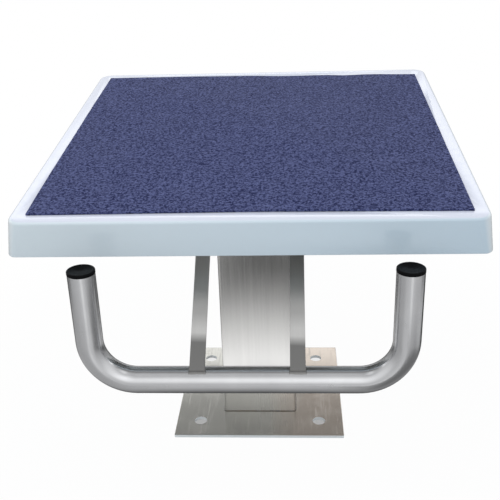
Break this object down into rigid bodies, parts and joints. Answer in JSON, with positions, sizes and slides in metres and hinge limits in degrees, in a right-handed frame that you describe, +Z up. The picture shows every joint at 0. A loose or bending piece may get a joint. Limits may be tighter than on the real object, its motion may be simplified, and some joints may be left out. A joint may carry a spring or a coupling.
{
  "type": "pool diving platform",
  "caption": "Sloping pool starting platform: a white tray with a blue anti-slip mat on one rectangular steel post, with a square base plate and a U-shaped front hand grip.",
  "frame": {"origin": "centre of the base plate's underside, on the pool deck", "axes": "+Z up, -Y towards the pool and the hand grip, +X to the right as seen from the pool looking at the platform"},
  "size_m": [0.6, 0.6651, 0.492],
  "materials": {
    "plate_steel": "satin, lightly stained",
    "tube_steel": "brushed along the length",
    "pipe_steel": "satin polished",
    "fastener_steel": "plain",
    "gel_coat": "glossy white gel coat",
    "mat_rubber": "grainy anti-slip texture",
    "cap_plastic": "matt black"
  },
  "bodies": {
    "root": {"base_plate": "plate_steel", "head_plate": "plate_steel", "post": "tube_steel", "side_rail_left": "tube_steel", "side_rail_right": "tube_steel", "inner_rail_left": "tube_steel", "inner_rail_right": "tube_steel", "front_rail": "tube_steel", "rear_rail": "tube_steel", "grip_rail": "tube_steel", "strap_left": "tube_steel", "strap_right": "tube_steel", "hand_grip": "pipe_steel", "head_bolt_1": "fastener_steel", "head_bolt_2": "fastener_steel", "head_bolt_3": "fastener_steel", "head_bolt_4": "fastener_steel", "head_washer_1": "fastener_steel", "head_washer_2": "fastener_steel", "head_washer_3": "fastener_steel", "head_washer_4": "fastener_steel", "head_nut_1": "fastener_steel", "head_nut_2": "fastener_steel", "head_nut_3": "fastener_steel", "head_nut_4": "fastener_steel", "strap_bolt_1": "fastener_steel", "strap_bolt_2": "fastener_steel", "strap_washer_1": "fastener_steel", "strap_washer_2": "fastener_steel", "strap_nut_1": "fastener_steel", "strap_nut_2": "fastener_steel", "tray_screw_1": "fastener_steel", "tray_screw_2": "fastener_steel", "tray_screw_3": "fastener_steel", "tray_screw_4": "fastener_steel", "tray_screw_5": "fastener_steel", "tray_screw_6": "fastener_steel", "tray_nut_1": "fastener_steel", "tray_nut_2": "fastener_steel", "tray_nut_3": "fastener_steel", "tray_nut_4": "fastener_steel", "tray_nut_5": "fastener_steel", "tray_nut_6": "fastener_steel", "platform_tray": "gel_coat", "anti_slip_mat": "mat_rubber", "end_cap_left": "cap_plastic", "end_cap_right": "cap_plastic"}
  },
  "joints": []
}
